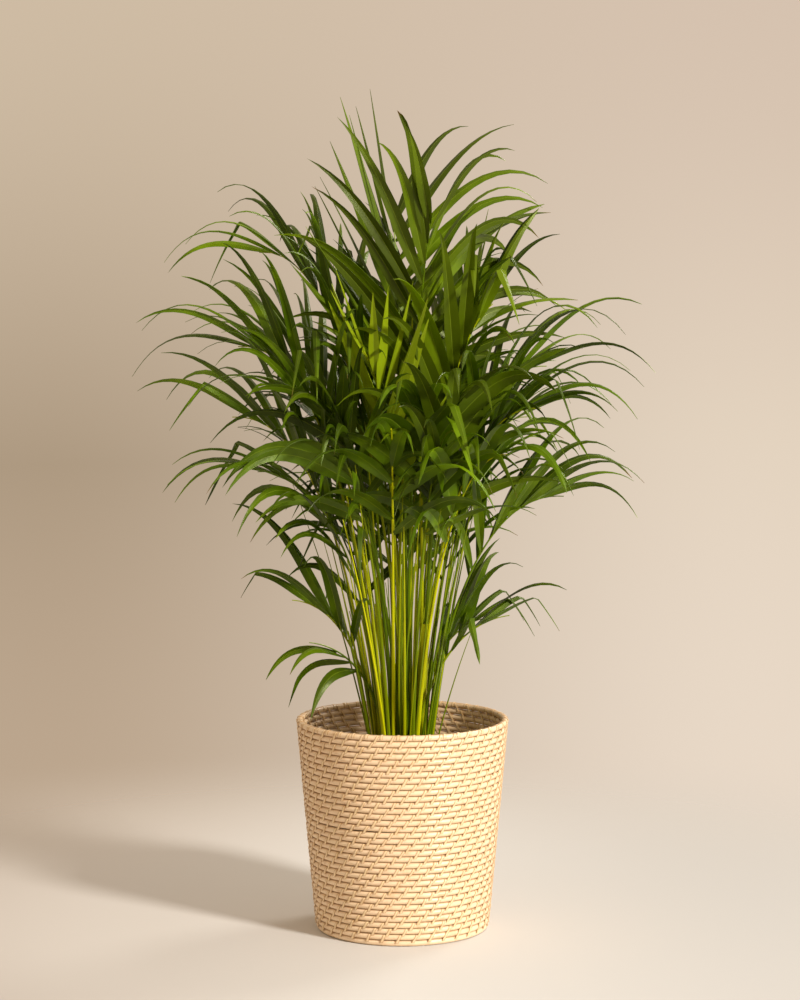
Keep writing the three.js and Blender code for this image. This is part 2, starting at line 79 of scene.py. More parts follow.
# Each shoot: its height above the soil, then its fronds, each with the compass angle it leans to
# (0 right, 90 back, 180 left, 270 front), how far its tip reaches from the axis, the height of its
# tip above the soil, the length of its blade, that of its longest leaflets, and how much they sag.
SHOOTS = [
    (0.065, [(107, 0.055, 0.870, 0.330, 0.310, 0.12), (172, 0.215, 0.790, 0.310, 0.270, 0.45),
             (350, 0.135, 0.715, 0.290, 0.285, 0.30)]),
    (0.060, [(150, 0.150, 0.750, 0.270, 0.260, 0.50), (222, 0.175, 0.580, 0.240, 0.240, 0.50),
             (82, 0.120, 0.640, 0.280, 0.250, 0.50)]),
    (0.070, [(248, 0.150, 0.650, 0.230, 0.200, 0.02), (294, 0.110, 0.850, 0.310, 0.270, 0.45),
             (205, 0.215, 0.590, 0.240, 0.290, 0.50)]),
    (0.060, [(30, 0.170, 0.730, 0.270, 0.270, 0.50), (75, 0.060, 0.740, 0.280, 0.250, 0.40),
             (336, 0.220, 0.565, 0.230, 0.290, 0.50)]),
    (0.070, [(184, 0.243, 0.652, 0.258, 0.298, 0.45), (198, 0.145, 0.215, 0.090, 0.175, 1.00),
             (160, 0.220, 0.640, 0.240, 0.270, 0.50)]),
    (0.240, [(305, 0.175, 0.600, 0.240, 0.250, 0.40), (11, 0.220, 0.620, 0.240, 0.300, 0.50),
             (280, 0.150, 0.590, 0.240, 0.230, 0.45)]),
    (0.060, [(110, 0.150, 0.600, 0.270, 0.250, 0.50), (130, 0.215, 0.530, 0.260, 0.260, 0.55),
             (60, 0.200, 0.600, 0.270, 0.260, 0.50)]),
    (0.055, [(238, 0.220, 0.520, 0.200, 0.230, 0.50), (266, 0.230, 0.545, 0.230, 0.250, 0.50),
             (195, 0.220, 0.470, 0.200, 0.270, 0.50)]),
    (0.060, [(28, 0.215, 0.540, 0.230, 0.280, 0.50), (48, 0.220, 0.470, 0.240, 0.250, 0.55),
             (356, 0.240, 0.430, 0.200, 0.280, 0.60)]),
    (0.060, [(175, 0.255, 0.545, 0.240, 0.300, 0.45), (187, 0.165, 0.275, 0.120, 0.240, 0.60),
             (140, 0.190, 0.440, 0.230, 0.240, 0.55)]),
    (0.065, [(325, 0.185, 0.500, 0.190, 0.280, 0.75), (358, 0.160, 0.250, 0.120, 0.220, 0.55),
             (290, 0.215, 0.540, 0.210, 0.230, 0.50)]),
    (0.055, [(75, 0.230, 0.540, 0.260, 0.250, 0.55), (100, 0.240, 0.450, 0.250, 0.240, 0.55),
             (15, 0.125, 0.240, 0.100, 0.210, 0.45)]),
]
# Fronds whose leaflets are broader than the rest, and those that are still young and pale.
BROAD = {1: 1.3, 3: 1.55, 5: 1.4, 7: 1.2, 8: 1.35, 10: 1.2, 14: 1.5, 16: 1.6, 18: 1.6, 22: 1.4, 23: 1.5,
         31: 1.45, 33: 1.3}
YOUNG = {1: 0.10, 3: 0.20, 7: 0.6, 8: 0.15, 16: 0.1}

# Fronds whose leaflets stand unevenly: for each side, how many degrees they spread beyond the rest
# and how many times as much they sag. The first side is the left one of a frond that leans back.
UNEVEN = {1: ((0, 0.3), (16, 4.2)), 3: ((8, 0.8), (10, 1.6)), 8: ((16, 1.5), (2, 0.9))}
# How many degrees leaflets are raised above the blade's plane, and the same on fronds where they hang.
RAISED = 24
HANGING = {5: -42, 14: -45, 16: -34, 18: -46, 22: -44, 23: -38, 24: -12, 31: 4, 33: -38}
# How many times as much leaflets sag on both sides: on fronds where they hang, and on these.
HANGING_SAG = 1.35
HEAVY = {2: 1.3, 9: 1.3, 12: 1.35, 13: 1.3, 17: 1.3, 24: 1.4, 25: 1.35, 28: 1.35}
# Front fronds whose leaflets stand this many times as far apart.
SPARSE = {5: 1.5, 16: 1.5, 18: 1.5, 22: 1.9, 23: 1.9, 31: 1.2, 33: 1.7}

# Three petioles stand in a triangle on each shoot, and the shoots stand on a spiral pattern.
PETIOLE_OFFSET = (2 * PETIOLE_RADIUS + PETIOLE_GAP) / math.sqrt(3)
SHOOT_RADIUS = PETIOLE_OFFSET + PETIOLE_RADIUS + SHOOT_EDGE
CLOSEST_PER_SCALE = 1.55  # how far apart the pattern's closest places are, at a scale of 1
PATTERN_SCALE = (2 * (SHOOT_RADIUS + SHOOT_SWELL) + SHOOT_GAP) / CLOSEST_PER_SCALE
GOLDEN_ANGLE = math.pi * (3 - math.sqrt(5))

chance = random.Random(7)
DOWN = np.array((0.0, 0.0, -1.0))


# ------------------------------------------------------------------ helpers

def unit(v):
    return v / np.linalg.norm(v)


def select_only(obj):
    bpy.ops.object.select_all(action="DESELECT")
    obj.select_set(True)
    bpy.context.view_layer.objects.active = obj


def settle(obj, name, *materials):
    """Names a finished piece, puts its place into its mesh and gives it its materials."""
    select_only(obj)
    bpy.ops.object.transform_apply(location=True, rotation=True, scale=True)
    obj.name = name
    obj.data.name = name
    obj.data.materials.clear()
    for material in materials:
        obj.data.materials.append(material)
    return obj


def belongs(obj, slot, *nodes):
    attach(obj, "root")
    if nodes:
        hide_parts(*nodes)


def mesh_object(name, points, faces):
    mesh = bpy.data.meshes.new(name)
    mesh.from_pydata([tuple(p) for p in points], [], faces)
    obj = bpy.data.objects.new(name, mesh)
    bpy.context.scene.collection.objects.link(obj)
    return obj


def smooth(obj, degrees):
    select_only(obj)
    bpy.ops.object.shade_smooth_by_angle(angle=math.radians(degrees))


def modify(obj, kind, **values):
    """Adds a modifier with these values to the active object, and applies it."""
    bpy.ops.object.modifier_add(type=kind)
    modifier = obj.modifiers[-1]
    for key, value in values.items():
        setattr(modifier, key, value)
    bpy.ops.object.modifier_apply(modifier=modifier.name)


def joined(pieces):
    bpy.ops.object.select_all(action="DESELECT")
    for piece in pieces:
        piece.select_set(True)
    bpy.context.view_layer.objects.active = pieces[0]
    bpy.ops.object.join()
    return bpy.context.object


def give_tones(obj, tones):
    """Writes three numbers for each point, from which the materials vary their colours."""
    tone = obj.data.attributes.new("tone", "FLOAT_VECTOR", "POINT")
    tone.data.foreach_set("vector", np.ravel(tones))


def tube_faces(stations, sides):
    """The faces between the rings of a tube, and one across each end."""
    faces = []
    for low in range(0, (stations - 1) * sides, sides):
        high = low + sides
        for k in range(sides):
            n = (k + 1) % sides
            faces.append((low + k, low + n, high + n, high + k))
    faces.append(tuple(reversed(range(sides))))
    faces.append(tuple((stations - 1) * sides + k for k in range(sides)))
    return faces


# ------------------------------------------------------------------ material helpers

def new_material(name):
    material = bpy.data.materials.new(name)
    material.use_nodes = True
    tree = material.node_tree
    return material, tree, tree.nodes["Principled BSDF"], tree.nodes["Material Output"]


def set_inputs(node, values):
    for name, value in values.items():
        node.inputs[name].default_value = value


def noise_node(tree, coordinates, scale, detail=3.0, stretch=None):
    if stretch is not None:
        mapping = tree.nodes.new("ShaderNodeMapping")
        mapping.inputs["Scale"].default_value = stretch
        tree.links.new(coordinates, mapping.inputs["Vector"])
        coordinates = mapping.outputs["Vector"]
    node = tree.nodes.new("ShaderNodeTexNoise")
    set_inputs(node, {"Scale": scale, "Detail": detail})
    tree.links.new(coordinates, node.inputs["Vector"])
    return node.outputs["Fac"]


def ramp_node(tree, value, stops):
    node = tree.nodes.new("ShaderNodeValToRGB")
    elements = node.color_ramp.elements
    while len(elements) < len(stops):
        elements.new(0.5)
    for element, (position, colour) in zip(elements, stops):
        element.position = position
        element.color = (*colour, 1.0)
    tree.links.new(value, node.inputs["Fac"])
    return node.outputs["Color"]


def mix_node(tree, amount, first, second, blend="MIX"):
    """Mixes two colours; each is a socket or a plain colour, and the amount a socket or a number."""
    node = tree.nodes.new("ShaderNodeMix")
    node.data_type = "RGBA"
    node.blend_type = blend
    for socket, value in ((node.inputs[0], amount), (node.inputs[6], first), (node.inputs[7], second)):
        if isinstance(value, bpy.types.NodeSocket):
            tree.links.new(value, socket)
        elif isinstance(value, tuple):
            socket.default_value = (*value, 1.0)
        else:
            socket.default_value = value
    return node.outputs[2]


def math_node(tree, operation, *values):
    node = tree.nodes.new("ShaderNodeMath")
    node.operation = operation
    for socket, value in zip(node.inputs, values):
        if isinstance(value, bpy.types.NodeSocket):
            tree.links.new(value, socket)
        else:
            socket.default_value = value
    return node.outputs[0]


def clamped(tree, value):
    return math_node(tree, "MINIMUM", math_node(tree, "MAXIMUM", value, 0.0), 1.0)


def vector_node(tree, operation, first):
    node = tree.nodes.new("ShaderNodeVectorMath")
    node.operation = operation
    tree.links.new(first, node.inputs[0])
    return node


def ranged(tree, value, low, high):
    """A value brought from low..high to 0..1 with soft ends."""
    node = tree.nodes.new("ShaderNodeMapRange")
    node.interpolation_type = "SMOOTHSTEP"
    set_inputs(node, {"From Min": low, "From Max": high})
    tree.links.new(value, node.inputs["Value"])
    return node.outputs["Result"]


def bump_node(tree, height, strength, distance):
    node = tree.nodes.new("ShaderNodeBump")
    set_inputs(node, {"Strength": strength, "Distance": distance})
    tree.links.new(height, node.inputs["Height"])
    return node.outputs["Normal"]


def attribute(tree, name):
    node = tree.nodes.new("ShaderNodeAttribute")
    node.attribute_name = name
    return node


def object_coordinates(tree):
    return tree.nodes.new("ShaderNodeTexCoord").outputs["Object"]


def separate(tree, vector):
    node = tree.nodes.new("ShaderNodeSeparateXYZ")
    tree.links.new(vector, node.inputs[0])
    return node.outputs


# ------------------------------------------------------------------ materials

def leaf_material():
    """Glossy green blade with veins along it; each leaflet has its own tone, spread wide enough to stand in
    for painted light and shade, and some have dry tips.
    """
    material, tree, shader, output = new_material("palm leaflet")
    uv = tree.nodes.new("ShaderNodeUVMap")
    uv.uv_map = "blade"
    along, across, _ = separate(tree, uv.outputs["UV"])
    tone = separate(tree, attribute(tree, "tone").outputs["Vector"])
    place = object_coordinates(tree)

    blotch = noise_node(tree, place, 9.0, 4.0)
    green = ramp_node(tree, blotch, [
        (0.28, (0.030, 0.062, 0.0006)), (0.50, (0.070, 0.128, 0.0008)), (0.75, (0.190, 0.290, 0.0022))])
    young = mix_node(tree, tone[1], green, (0.36, 0.44, 0.008))
    # painted light and shade: each leaflet's random tone scales its colour from 0.38 to 1.63 times, its own
    # tone and also a stand-in for lit and shaded leaflets
    shade = math_node(tree, "MULTIPLY_ADD", tone[0], 1.25, 0.38)
    varied = mix_node(tree, 1.0, young, shade, "MULTIPLY")

    wave = math_node(tree, "SINE", math_node(tree, "MULTIPLY", across, 150.0))
    vein = math_node(tree, "MULTIPLY_ADD", wave, 0.05, 0.05)
    veined = mix_node(tree, vein, varied, (0.24, 0.33, 0.02))
    off_rib = math_node(tree, "ABSOLUTE", math_node(tree, "SUBTRACT", across, 0.5))
    rib = math_node(tree, "LESS_THAN", off_rib, 0.022)
    ribbed = mix_node(tree, math_node(tree, "MULTIPLY", rib, 0.5), veined, (0.30, 0.40, 0.03))

    from_tip = math_node(tree, "ADD", along, math_node(tree, "MULTIPLY", blotch, 0.05))
    past_green = math_node(tree, "MULTIPLY", math_node(tree, "SUBTRACT", from_tip, 1.03), 14.0)
    dry = clamped(tree, math_node(tree, "ADD", past_green, tone[2]))
    colour = mix_node(tree, dry, ribbed, (0.20, 0.11, 0.035))

    tree.links.new(colour, shader.inputs["Base Color"])
    set_inputs(shader, {
        "Roughness": 0.32, "Specular IOR Level": 0.48, "Specular Tint": (0.88, 0.95, 0.50, 1.0)})
    normal = bump_node(tree, wave, 0.12, 0.0004)
    tree.links.new(normal, shader.inputs["Normal"])

    glow = tree.nodes.new("ShaderNodeBsdfTranslucent")
    bright = mix_node(tree, 1.0, colour, (2.6, 2.4, 1.0), "MULTIPLY")
    tree.links.new(bright, glow.inputs["Color"])
    both = tree.nodes.new("ShaderNodeMixShader")
    both.inputs[0].default_value = 0.34
    tree.links.new(shader.outputs[0], both.inputs[1])
    tree.links.new(glow.outputs[0], both.inputs[2])
    tree.links.new(both.outputs[0], output.inputs["Surface"])
    return material


def stem_material(name, low, high, streak):
    """Smooth yellow-green skin, streaked lengthwise, paler low down; its random tone is skewed so that most
    stalks stay dark green, partly as painted shade, and a few turn yellow.
    """
    material, tree, shader, _ = new_material(name)
    place = object_coordinates(tree)
    lengthwise = noise_node(tree, place, 190.0, 3.0, (1.0, 1.0, 0.02))
    tone = separate(tree, attribute(tree, "tone").outputs["Vector"])
    above_rim = math_node(tree, "SUBTRACT", separate(tree, place)[2], SOIL_TOP + 0.1)
    graded = mix_node(tree, clamped(tree, math_node(tree, "MULTIPLY", above_rim, 2.2)), low, high)
    # painted shade: the random tone is raised to the power 1.8, so most stalks keep the dark green, as if
    # shaded, and few turn yellow
    toned = mix_node(tree, math_node(tree, "POWER", tone[0], 1.8), graded, streak)
    lined = mix_node(tree, math_node(tree, "MULTIPLY", lengthwise, 0.5), toned, (0.08, 0.13, 0.001))
    tree.links.new(lined, shader.inputs["Base Color"])
    set_inputs(shader, {
        "Roughness": 0.34, "Specular IOR Level": 0.3, "Specular Tint": (0.90, 0.95, 0.40, 1.0),
        "Subsurface Weight": 0.08, "Subsurface Radius": (0.004, 0.005, 0.001)})
    tree.links.new(bump_node(tree, lengthwise, 0.25, 0.0006), shader.inputs["Normal"])
    return material


def rattan_material(name, light, dark, painted_edge_shade, gloss, is_core):
    """Peeled cane: pale, with faintly pink and straw patches, and painted shade: brown where two canes meet,
    along the edges of the strips, and dark brown on the wall's inner side.
    """
    material, tree, shader, _ = new_material(name)
    place = object_coordinates(tree)
    patch = noise_node(tree, place, 70.0, 4.0)
    grain = noise_node(tree, place, 520.0, 3.0, (1.0, 1.0, 3.0))
    bright = tuple(min(1.0, c * 1.08) for c in light)
    base = ramp_node(tree, patch, [(0.28, dark), (0.46, light), (0.72, bright)])
    tone = separate(tree, attribute(tree, "tone").outputs["Vector"])
    pink = mix_node(tree, math_node(tree, "MULTIPLY", tone[0], 0.3), base, (0.86, 0.62, 0.45))
    grained = mix_node(tree, math_node(tree, "MULTIPLY", grain, 0.28), pink, dark)
    if is_core:
        # painted shade: each cane darkens towards the grooves above and below it, where it meets the next
        share = math_node(tree, "FRACT", math_node(tree, "DIVIDE", separate(tree, place)[2], PITCH))
        off_middle = math_node(tree, "ABSOLUTE", math_node(tree, "SUBTRACT", share, 0.5))
        fade = ranged(tree, math_node(tree, "MULTIPLY", off_middle, 2.0), 0.74, 1.02)
    else:
        # painted shade along a strip's two edges, placed by its second tone
        fade = ranged(tree, tone[1], 0.35, 1.1)
    coloured = mix_node(tree, fade, grained, painted_edge_shade)
    # painted shade: everything inside the wall's middle line, the wall's inner side and the base, is mixed
    # towards dark brown as if shaded by the canopy
    height_share = math_node(tree, "DIVIDE", separate(tree, place)[2], BASKET_HEIGHT)
    middle = math_node(
        tree, "MULTIPLY_ADD", height_share, TOP_RADIUS - FOOT_RADIUS, FOOT_RADIUS - PITCH * 0.75)
    flat = vector_node(tree, "MULTIPLY", place)
    flat.inputs[1].default_value = (1.0, 1.0, 0.0)
    out = vector_node(tree, "LENGTH", flat.outputs[0]).outputs["Value"]
    inside = math_node(tree, "LESS_THAN", out, middle)
    coloured = mix_node(tree, math_node(tree, "MULTIPLY", inside, 0.32), coloured, (0.38, 0.21, 0.08))
    tree.links.new(coloured, shader.inputs["Base Color"])
    set_inputs(shader, {"Roughness": gloss, "Specular IOR Level": 0.5})
    tree.links.new(bump_node(tree, grain, 0.2, 0.0005), shader.inputs["Normal"])
    return material


def plastic_material(name, colour, roughness):
    material, tree, shader, _ = new_material(name)
    place = object_coordinates(tree)
    dust = noise_node(tree, place, 26.0, 5.0)
    worn = ramp_node(tree, dust, [(0.35, colour), (0.75, tuple(c * 1.7 + 0.006 for c in colour))])
    tree.links.new(worn, shader.inputs["Base Color"])
    set_inputs(shader, {"Roughness": roughness})
    grain = noise_node(tree, place, 900.0, 2.0)
    tree.links.new(bump_node(tree, grain, 0.2, 0.0002), shader.inputs["Normal"])
    return material


def soil_material():
    material, tree, shader, _ = new_material("potting soil")
    place = object_coordinates(tree)
    clumps = noise_node(tree, place, 160.0, 6.0)
    colour = ramp_node(tree, clumps, [
        (0.3, (0.010, 0.006, 0.004)), (0.55, (0.036, 0.021, 0.012)), (0.78, (0.105, 0.066, 0.040))])
    tree.links.new(colour, shader.inputs["Base Color"])
    set_inputs(shader, {"Roughness": 0.93})
    tree.links.new(bump_node(tree, clumps, 0.8, 0.002), shader.inputs["Normal"])
    return material


LEAF = leaf_material()
# the stalks' greens are dark, partly their own colour and partly painted shade among the crowded stalks
MIDRIB = stem_material(
    "petiole and midrib", low=(0.080, 0.140, 0.0008), high=(0.10, 0.175, 0.0010), streak=(0.70, 0.70, 0.003))
SHEATH = stem_material(
    "leaf sheath", low=(0.14, 0.20, 0.0015), high=(0.16, 0.23, 0.0015), streak=(0.60, 0.58, 0.006))
# the third colour of each is the painted shade at the edges of canes and strips
CORE = rattan_material(
    "rattan core", light=(0.88, 0.68, 0.45), dark=(0.76, 0.51, 0.28), painted_edge_shade=(0.46, 0.25, 0.09),
    gloss=0.34, is_core=True)
PEEL = rattan_material(
    "rattan binding", light=(0.86, 0.66, 0.40), dark=(0.73, 0.49, 0.25), painted_edge_shade=(0.46, 0.25, 0.08),
    gloss=0.32, is_core=False)
SAUCER = plastic_material("saucer plastic", (0.035, 0.032, 0.029), 0.5)
POT = plastic_material("nursery pot plastic", (0.020, 0.019, 0.018), 0.42)
SOIL = soil_material()


# ------------------------------------------------------------------ basket

HAIR = 0.0001  # the gap that keeps two canes from touching
CORE_RADIUS = PITCH / 2 - HAIR
BINDING_PROUD = 0.0008  # how far the binding stands out of the canes
LOWEST_TUCK = 0.0008
CANE_SIDES = 10
STRIP_WIDTH = 0.0047
STRIP_THICKNESS = 0.0011
STRIP_SPACING = 0.0226
STRIP_SLANT = 0.0068
STRIP_STEP = 0.0087  # how far each course's strips stand sideways of those below
STRIP_LENGTH = 1.40 * PITCH
STRIP_START = 0.94  # where a strip's upper end is, as a share of its course
STRIP_CUTS = 8
STRIP_ROUNDING = 0.55
GROOVE_FOLLOW = 0.30  # how far a strip sinks into the groove that it crosses between two canes
END_DIVE, END_SHARE = 0.0021, 0.13  # how deep a strip's ends go, over which share of its length
RIM_START, RIM_WRAP = -48, 276  # degrees round the top cane
RIM_THICKNESS = 0.8 * STRIP_THICKNESS
RIM_DIVE, RIM_SHARE = 0.0008, 0.1

# Where a course has sunk away from its neighbour: the middle angle and spread in degrees, and the drop.
GAPES = {18: (232, 26, -0.0009), 19: (232, 26, 0.0005), 22: (222, 16, -0.0006)}


def wall_radius(z):
    """The radius of the cores' middle line at a height."""
    share = z / BASKET_HEIGHT
    return FOOT_RADIUS + (TOP_RADIUS - FOOT_RADIUS) * share - CORE_RADIUS - BINDING_PROUD


def basket_cores():
    """Rings of cane, one on the other, each a little uneven; the lowest is tucked in."""
    luck = random.Random(2)
    rings = []
    for course in range(COURSES):
        z = PITCH * (course + 0.5)
        tuck = LOWEST_TUCK if course == 0 else 0.0
        bpy.ops.mesh.primitive_torus_add(
            location=(0, 0, z), major_segments=120, minor_segments=CANE_SIDES,
            major_radius=wall_radius(z) - tuck, minor_radius=CORE_RADIUS)
        ring = bpy.context.object
        waves = [
            (luck.randint(2, 14), luck.uniform(0, 6.28), luck.uniform(0.00003, 0.00013))
            for _ in range(4)]
        for vertex in ring.data.vertices:
            angle = math.atan2(vertex.co.y, vertex.co.x)
            vertex.co.z += sum(size * math.sin(count * angle + start) for count, start, size in waves)
            if course in GAPES:
                middle, spread, drop = GAPES[course]
                away = math.degrees(angle - math.radians(middle)) % 360
                away = min(away, 360 - away)
                vertex.co.z += drop * math.exp(-(away / spread) ** 2)
        rings.append(ring)
    cores = joined(rings)
    per_ring = len(cores.data.vertices) // COURSES
    give_tones(cores, np.repeat([luck.random() for _ in range(COURSES)], per_ring * 3))
    settle(cores, "basket_cores", CORE)
    smooth(cores, 60)
    return cores


def strip_template():
    """A binding strip, 1 wide and 1 long, with its lower layer at 0 and its upper one at 1."""
    bpy.ops.object.select_all(action="DESELECT")
    bpy.ops.mesh.primitive_cube_add(size=1.0, location=(0, 0.5, 0.5))
    obj = bpy.context.object
    bpy.ops.object.transform_apply(location=True, rotation=True, scale=True)
    mesh = obj.data
    bpy.ops.object.mode_set(mode="EDIT")
    bpy.ops.mesh.select_all(action="SELECT")
    bpy.ops.mesh.bisect(plane_co=(0, 0.5, 0.5), plane_no=(1, 0, 0))
    for cut in range(1, STRIP_CUTS):
        bpy.ops.mesh.select_all(action="SELECT")
        bpy.ops.mesh.bisect(plane_co=(0, cut / STRIP_CUTS, 0.5), plane_no=(0, 1, 0))
    bpy.ops.object.mode_set(mode="OBJECT")
    points = np.array([v.co[:] for v in mesh.vertices])
    faces = [tuple(p.vertices) for p in mesh.polygons]
    bpy.data.objects.remove(obj)
    return points, faces


STRIP_POINTS, STRIP_FACES = strip_template()


def crowned(x, layer):
    """How far a strip's layer stands off its bed, across its width."""
    return layer * (1.0 - STRIP_ROUNDING * (2 * x) ** 2)


def strips_object(name, points, faces, tones):
    obj = mesh_object(name, points, faces)
    give_tones(obj, tones)
    settle(obj, name, PEEL)
    select_only(obj)
    bpy.ops.object.mode_set(mode="EDIT")
    bpy.ops.mesh.select_all(action="SELECT")
    bpy.ops.mesh.normals_make_consistent(inside=False)
    bpy.ops.object.mode_set(mode="OBJECT")
    smooth(obj, 55)
    return obj


def basket_binding(name, outside):
    """Strips that bind each course to the one below, stepping sideways from course to course."""
    points, faces, tones = [], [], []
    luck = random.Random(3 if outside else 4)
    for course in range(1, COURSES):
        course_z = PITCH * (course + 0.5)
        count = round(2 * math.pi * wall_radius(course_z) / STRIP_SPACING)
        first = STRIP_STEP * (COURSES - course) / wall_radius(course_z)
        for i in range(count):
            angle = 2 * math.pi * i / count - first + luck.uniform(-0.009, 0.009)
            top_z = PITCH * (course + STRIP_START + luck.uniform(-0.03, 0.03))
            length = STRIP_LENGTH * luck.uniform(0.93, 1.05)
            slant = STRIP_SLANT * luck.uniform(0.82, 1.15)
            width = STRIP_WIDTH * luck.uniform(0.85, 1.12)
            start = len(points)
            shade = luck.random()
            for x, y, layer in STRIP_POINTS:
                z = top_z - length * y
                groove = abs(((z / PITCH) % 1.0) - 0.5) * 2
                over_core = CORE_RADIUS * math.sqrt(1 - GROOVE_FOLLOW * groove ** 2)
                end = min(y, 1 - y)
                dive = END_DIVE * max(0.0, 1 - end / END_SHARE) ** 1.5
                lift = over_core - dive - 2 * HAIR + STRIP_THICKNESS * crowned(x, layer)
                radius = wall_radius(z) + (lift if outside else -lift)
                theta = angle + (slant * (0.5 - y) + width * x) / radius
                points.append((radius * math.cos(theta), radius * math.sin(theta), z))
                # the second tone, the distance from the strip's middle line, places the painted shade along
                # its edges
                tones.append((shade, abs(2 * x), 0.0))
            faces += [tuple(start + j for j in face) for face in STRIP_FACES]
    return strips_object(name, points, faces, tones)


def rim_binding():
    """Strips wrapped right over the top course."""
    points, faces, tones = [], [], []
    luck = random.Random(9)
    rim_z = PITCH * (COURSES - 0.5)
    rim_radius = wall_radius(rim_z)
    count = round(2 * math.pi * rim_radius / STRIP_SPACING)
    for i in range(count):
        angle = 2 * math.pi * i / count + luck.uniform(-0.008, 0.008)
        width = STRIP_WIDTH * luck.uniform(0.9, 1.15)
        slant = STRIP_SLANT * luck.uniform(0.3, 0.6)
        shade = luck.random()
        start = len(points)
        for x, y, layer in STRIP_POINTS:
            around = math.radians(RIM_START + RIM_WRAP * y)
            end = min(y, 1 - y)
            reach = CORE_RADIUS - HAIR + RIM_THICKNESS * crowned(x, layer)
            reach -= RIM_DIVE * max(0.0, 1 - end / RIM_SHARE)
            radius = rim_radius + reach * math.cos(around)
            theta = angle + (slant * (y - 0.5) + width * x) / rim_radius
            z = min(rim_z + reach * math.sin(around), BASKET_HEIGHT + 0.0011)
            points.append((radius * math.cos(theta), radius * math.sin(theta), z))
            # the second tone, the distance from the strip's middle line, places the painted shade along its
            # edges
            tones.append((shade, abs(2 * x), 0.0))
        faces += [tuple(start + j for j in face) for face in STRIP_FACES]
    return strips_object("basket_rim_binding", points, faces, tones)


def basket_base():
    """Rings of cane lying flat, from the wall's foot to the middle."""
    rings = []
    radius = base_high.x - CORE_RADIUS
    while radius > CORE_RADIUS * 1.2:
        bpy.ops.mesh.primitive_torus_add(
            location=(0, 0, CORE_RADIUS), major_segments=96, minor_segments=CANE_SIDES,
            major_radius=radius, minor_radius=CORE_RADIUS - HAIR)
        rings.append(bpy.context.object)
        radius -= 2 * CORE_RADIUS
    coil = joined(rings)
    settle(coil, "basket_base_coil", CORE)
    smooth(coil, 60)
    return coil


belongs(basket_cores(), "rattan", "basket_wall")
belongs(rim_binding(), "rattan")
for binding_name, is_outside in (("basket_binding_outside", True), ("basket_binding_inside", False)):
    belongs(basket_binding(binding_name, is_outside), "rattan")
belongs(basket_base(), "rattan", "basket_base")


# ------------------------------------------------------------------ saucer, pot and soil

PLASTIC_WALL = 0.002


def thrown(name, outline, material):
    """A round vessel: a disc drawn up through rings of (radius, z), then given its wall."""
    bpy.ops.object.select_all(action="DESELECT")
    radius, z = outline[0]
    bpy.ops.mesh.primitive_circle_add(vertices=96, radius=radius, fill_type="TRIFAN", location=(0, 0, z))
    obj = bpy.context.object
    bpy.ops.object.mode_set(mode="EDIT")
    bpy.ops.mesh.select_all(action="SELECT")
    bpy.ops.mesh.region_to_loop()
    for next_radius, next_z in outline[1:]:
        bpy.ops.mesh.extrude_region_move(TRANSFORM_OT_translate={"value": (0, 0, next_z - z)})
        grow = next_radius / radius
        bpy.ops.transform.resize(value=(grow, grow, 1.0))
        radius, z = next_radius, next_z
    bpy.ops.mesh.select_all(action="SELECT")
    bpy.ops.mesh.normals_make_consistent(inside=False)
    bpy.ops.object.mode_set(mode="OBJECT")
    modify(obj, "SOLIDIFY", thickness=PLASTIC_WALL, offset=-1.0)
    modify(obj, "BEVEL", width=PLASTIC_WALL * 0.3, segments=2)
    settle(obj, name, material)
    smooth(obj, 35)
    return obj


saucer_top = saucer_high.x
saucer = thrown("drip_saucer_moulded", [
    (saucer_top - 0.003, saucer_low.z), (saucer_top - 0.001, saucer_low.z + 0.004),
    (saucer_top, saucer_high.z)], SAUCER)
belongs(saucer, "saucer_plastic", "drip_saucer")

lip = pot_high.x
pot_foot = saucer_top - 0.010
lip_z = pot_high.z - 0.011
pot = thrown("nursery_pot_moulded", [
    (pot_foot - 0.002, pot_low.z), (pot_foot, pot_low.z + 0.003), (lip - 0.004, lip_z),
    (lip, lip_z + 0.0015), (lip, pot_high.z - 0.001), (lip - 0.0015, pot_high.z),
    (lip - 0.004, pot_high.z)], POT)
belongs(pot, "pot_plastic", "nursery_pot")

SOIL_DEPTH = 0.18
SOIL_RINGS, RING_STEP = 22, 0.0048
EDGE_DROP = 0.007  # how far the soil's edge lies below its top
HEAP = 0.006
ROOT_DEPTH, SPEAR_DEPTH = 0.03, 0.02  # how deep shoots and single stalks stand in the soil
CRUMBS = 900


def potting_soil():
    """A heap with a rough top: a disc of rings, ruffled, over a plain body."""
    bpy.ops.object.select_all(action="DESELECT")
    top_radius = soil_high.x - 0.0005
    bpy.ops.mesh.primitive_cylinder_add(
        vertices=72, radius=top_radius, depth=SOIL_DEPTH, end_fill_type="NGON",
        location=(0, 0, SOIL_TOP - EDGE_DROP - SOIL_DEPTH / 2))
    obj = bpy.context.object
    bpy.ops.object.transform_apply(location=True, rotation=True, scale=True)
    obj.data.polygons.foreach_set("select", [p.normal.z > 0.9 for p in obj.data.polygons])
    bpy.ops.object.mode_set(mode="EDIT")
    bpy.ops.mesh.select_mode(type="FACE")
    for _ in range(SOIL_RINGS):
        bpy.ops.mesh.inset(thickness=RING_STEP, depth=0.0)
    bpy.ops.object.mode_set(mode="OBJECT")
    ruffle = random.Random(12)
    for vertex in obj.data.vertices:
        radius = math.hypot(vertex.co.x, vertex.co.y)
        if vertex.co.z > SOIL_TOP - 0.03 and radius < top_radius - 0.002:
            heap = HEAP * (1 - (radius / top_radius) ** 2)
            vertex.co.z += heap + ruffle.uniform(-0.0014, 0.0012)
        elif vertex.co.z < SOIL_TOP - 0.1:
            vertex.co.x *= 0.93
            vertex.co.y *= 0.93
    settle(obj, "potting_soil_heap", SOIL)
    smooth(obj, 60)
    return obj


belongs(potting_soil(), "soil", "potting_soil")


